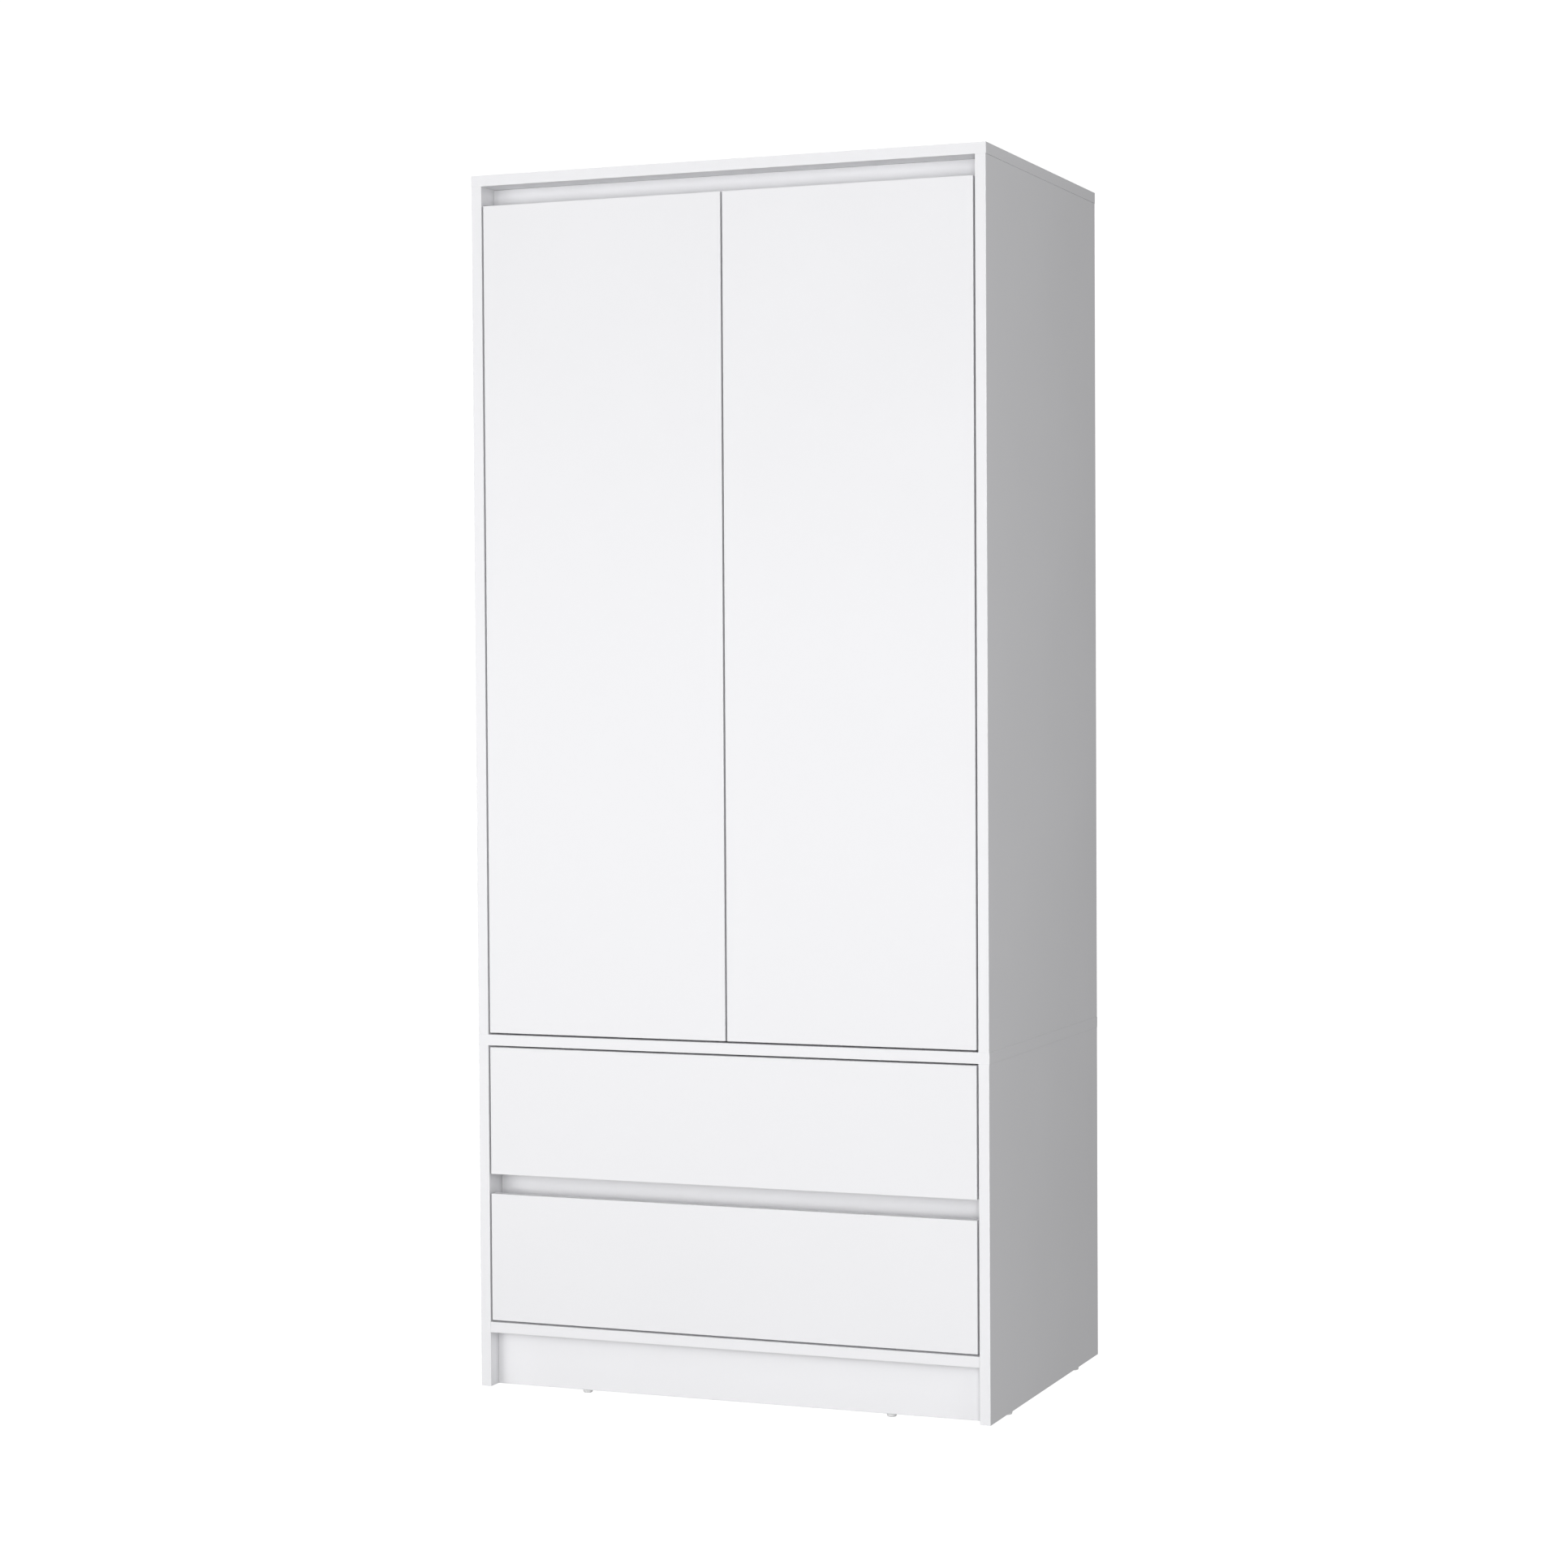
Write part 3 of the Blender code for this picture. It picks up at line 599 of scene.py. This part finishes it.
def slide_fittings(finishes):
    """Screws in the channels and runners, and the ball cages that run between them."""
    channels = Lot("screws_slide_channels", "zinc_steel", "carcass")
    for label in DRAWERS:
        body = f"drawer_{label}"
        runners = Lot(f"screws_slide_runners_{label}", "zinc_steel", body)
        cages = Lot(f"ball_cages_{label}", "zinc_steel", body)
        for side, sign in SIDES:
            low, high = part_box(f"slide_channel_{label}_{side}")
            z = (low.z + high.z) / 2
            wall = sign * (max(abs(low.x), abs(high.x)) - SLIDE_SHEET)
            for share in CHANNEL_SCREWS:
                place = (wall, low.y + share * (high.y - low.y), z)
                channels.screw(place, inward(sign), CHANNEL_SCREW, 7 * share)
            low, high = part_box(f"slide_runner_{label}_{side}")
            near = min(abs(low.x), abs(high.x))
            far = max(abs(low.x), abs(high.x))
            for share in RUNNER_SCREWS:
                place = (sign * (near + SLIDE_SHEET), low.y + share * (high.y - low.y), z)
                runners.screw(place, outward(sign), RUNNER_SCREW, 5 * share)
            across = sign * (near + far) / 2
            for step in (-1, 1):
                ball_cage(cages, across, high.y, z + step * BALL_RISE)
        runners.done(finishes)
        cages.done(finishes)
    channels.done(finishes)


def ball_cage(lot, x, rear, z):
    """A strip with its row of balls, in the rear of one track of a slide."""
    lot.box((x - CAGE_HALF_WIDTH, rear - CAGE_LENGTH, z - CAGE_HALF_SHEET),
            (x + CAGE_HALF_WIDTH, rear - CAGE_BACK, z + CAGE_HALF_SHEET), CAGE_ROUND)
    for i in range(BALL_COUNT):
        back = BALL_BACK + i * (CAGE_LENGTH - BALL_PLAY) / (BALL_COUNT - 1)
        lot.ball((x, rear - back, z), BALL_RADIUS)


def drawer_fittings(finishes):
    """Cam covers inside, behind the front, and two screws through each side into the back."""
    for label in DRAWERS:
        body = f"drawer_{label}"
        caps = Lot(f"cam_caps_drawer_{label}", "white_plastic", body)
        screws = Lot(f"screws_drawer_{label}", "zinc_steel", body)
        for side, sign in SIDES:
            low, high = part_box(f"drawer_{label}_side_{side}")
            outer = sign * max(abs(low.x), abs(high.x))
            inner = sign * min(abs(low.x), abs(high.x))
            for rise in DRAWER_CAM_RISES:
                caps.cap((inner, low.y + CAM_SETBACK, low.z + rise), inward(sign))
            for rise, roll in BOARD_SCREW_RISES:
                place = (outer, high.y - BOARD_SCREW_INSET, low.z + rise)
                screws.screw(place, outward(sign), BOARD_SCREW, roll)
        caps.done(finishes)
        screws.done(finishes)


def carcass_caps(finishes):
    """Cam covers on the sides, by the top and middle panels, and on the cross boards' ends."""
    lot = Lot("cam_caps_carcass", "white_plastic", "carcass")
    shelf_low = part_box("hat_shelf")[0]
    bottom_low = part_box("bottom_panel")[0]
    for side, sign in SIDES:
        end = sign * (INNER - CAM_SETBACK)
        for y in (-CAM_DEPTH, CAM_DEPTH):
            for z in (Z_TOP - CAM_SETBACK, Z_MID_TOP + CAM_SETBACK, Z_MID - CAM_SETBACK):
                lot.cap((sign * INNER, y, z), inward(sign))
            lot.cap((end, y, bottom_low.z), DOWNWARD)
        for y in (shelf_low.y + SHELF_CAM_DEPTH, CAM_DEPTH):
            lot.cap((end, y, shelf_low.z), DOWNWARD)
        for name in ("kick_board", "top_rail", "drawer_rail"):
            low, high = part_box(name)
            lot.cap((end, high.y, (low.z + high.z) / 2), BACKWARD)
    lot.done(finishes)


def back_nails(finishes):
    """Flat-headed nails round both back panels and into the boards they cross."""
    lot = Lot("nails_back", "zinc_steel", "carcass")
    lower_low, lower_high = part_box("back_panel_lower")
    upper_low, upper_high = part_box("back_panel_upper")
    rear = lower_high.y
    edge = lower_high.x - NAIL_INSET
    rows = ((lower_low, lower_high, NAILS_UP_LOWER), (upper_low, upper_high, NAILS_UP_UPPER))
    for low, high, count in rows:
        for i in range(count):
            z = low.z + NAIL_END + i * (high.z - low.z - 2 * NAIL_END) / (count - 1)
            for x in (-edge, edge):
                lot.nail((x, rear, z), BACKWARD)
    across = [lower_low.z + NAIL_LOW_EDGE, lower_high.z - NAIL_INSET, upper_low.z + NAIL_INSET,
              sum(corner.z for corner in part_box("hat_shelf")) / 2, upper_high.z - NAIL_INSET]
    for z in across:
        for i in range(NAILS_ACROSS):
            x = (i - NAILS_ACROSS // 2) * edge / ACROSS_SHARE
            lot.nail((x, rear, z), BACKWARD)
    lot.done(finishes)


def joint_lines(finishes):
    """Fills the hairline gaps between boards that are pressed together in the real joint."""
    lot = Lot("joint_lines", "carcass_melamine", "carcass")
    seams = (("side_panel_{}_upper", "top_panel", TOP_SEAM_INSET),
             ("mid_panel", "side_panel_{}_upper", SEAM_INSET),
             ("side_panel_{}_lower", "mid_panel", SEAM_INSET))
    boards = (("bottom_panel", SEAM_INSET), ("hat_shelf", SEAM_INSET),
              ("kick_board", RAIL_SEAM_INSET), ("top_rail", RAIL_SEAM_INSET),
              ("drawer_rail", RAIL_SEAM_INSET))
    for side, sign in SIDES:
        for below, above, inset in seams:
            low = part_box(below.format(side))[1].z + SEAM_PLAY
            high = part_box(above.format(side))[0].z - SEAM_PLAY
            near, far = sorted((sign * (INNER + SEAM_INSET), sign * (OUTER - inset)))
            lot.box((near, FRONT + SEAM_INSET, low), (far, SIDE_HIGH.y - SEAM_REAR, high))
        for name, inset in boards:
            low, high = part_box(name)
            near, far = sorted((sign * (high.x + SEAM_PLAY), sign * (INNER - SEAM_PLAY)))
            lot.box((near, low.y + inset, low.z + SEAM_INSET),
                    (far, high.y - inset, high.z - SEAM_INSET))
    lot.done(finishes)


bpy.context.scene.view_settings.view_transform = "Standard"
make_camera()
make_world()
make_floor()
make_lights()
FINISHES = looks()
dress_frame(FINISHES)
hinge_screws(FINISHES)
socket_screws(FINISHES)
slide_fittings(FINISHES)
drawer_fittings(FINISHES)
carcass_caps(FINISHES)
back_nails(FINISHES)
joint_lines(FINISHES)
